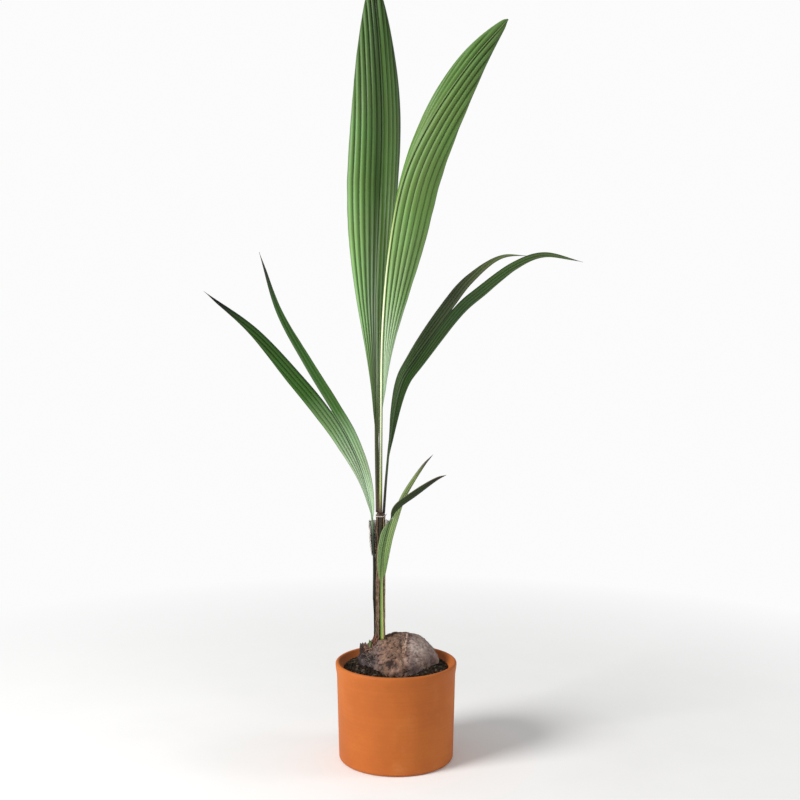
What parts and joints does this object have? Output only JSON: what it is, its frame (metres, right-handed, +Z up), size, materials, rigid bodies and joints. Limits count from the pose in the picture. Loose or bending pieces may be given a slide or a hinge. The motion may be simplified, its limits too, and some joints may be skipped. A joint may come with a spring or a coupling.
{
  "type": "young coconut palm in a clay pot",
  "caption": "Young coconut palm sprouting from its half-buried nut in a round clay pot, with tall pleated leaves and forked fronds that arch to both sides.",
  "frame": {"origin": "middle of the pot's flat underside, which stands on the floor", "axes": "+Z up along the pot's axis, -Y to the front, +X to the right seen from the front"},
  "size_m": [0.6223, 0.2276, 1.2832],
  "materials": {
    "clay": "unglazed fired clay, smooth matt",
    "soil": "dark damp potting soil",
    "husk": "weathered coconut husk, rough and fibrous",
    "stem": "leaf sheaths, brown fibre over green",
    "fibre": "dry papery leaf fibre",
    "rib": "waxy yellow-green leaf stalk",
    "tall_leaf": "glossy pleated leaf, mid green",
    "frond": "glossy pleated leaf, dark green"
  },
  "bodies": {
    "root": {"pot": "clay", "soil": "soil", "coconut": "husk", "husk_flap": "husk", "stem": "stem", "fibre_sheath": "fibre", "tall_left_rib": "rib", "tall_left_left_half": "tall_leaf", "tall_left_right_half": "tall_leaf", "tall_right_rib": "rib", "tall_right_left_half": "tall_leaf", "tall_right_right_half": "tall_leaf", "left_frond_rib": "rib", "left_frond_low_half": "frond", "left_frond_high_half": "frond", "right_frond_rib": "rib", "right_frond_long_half": "frond", "right_frond_short_half": "frond", "small_leaf_rib": "rib", "small_leaf_light_half": "frond", "small_leaf_dark_half": "frond"}
  },
  "joints": []
}
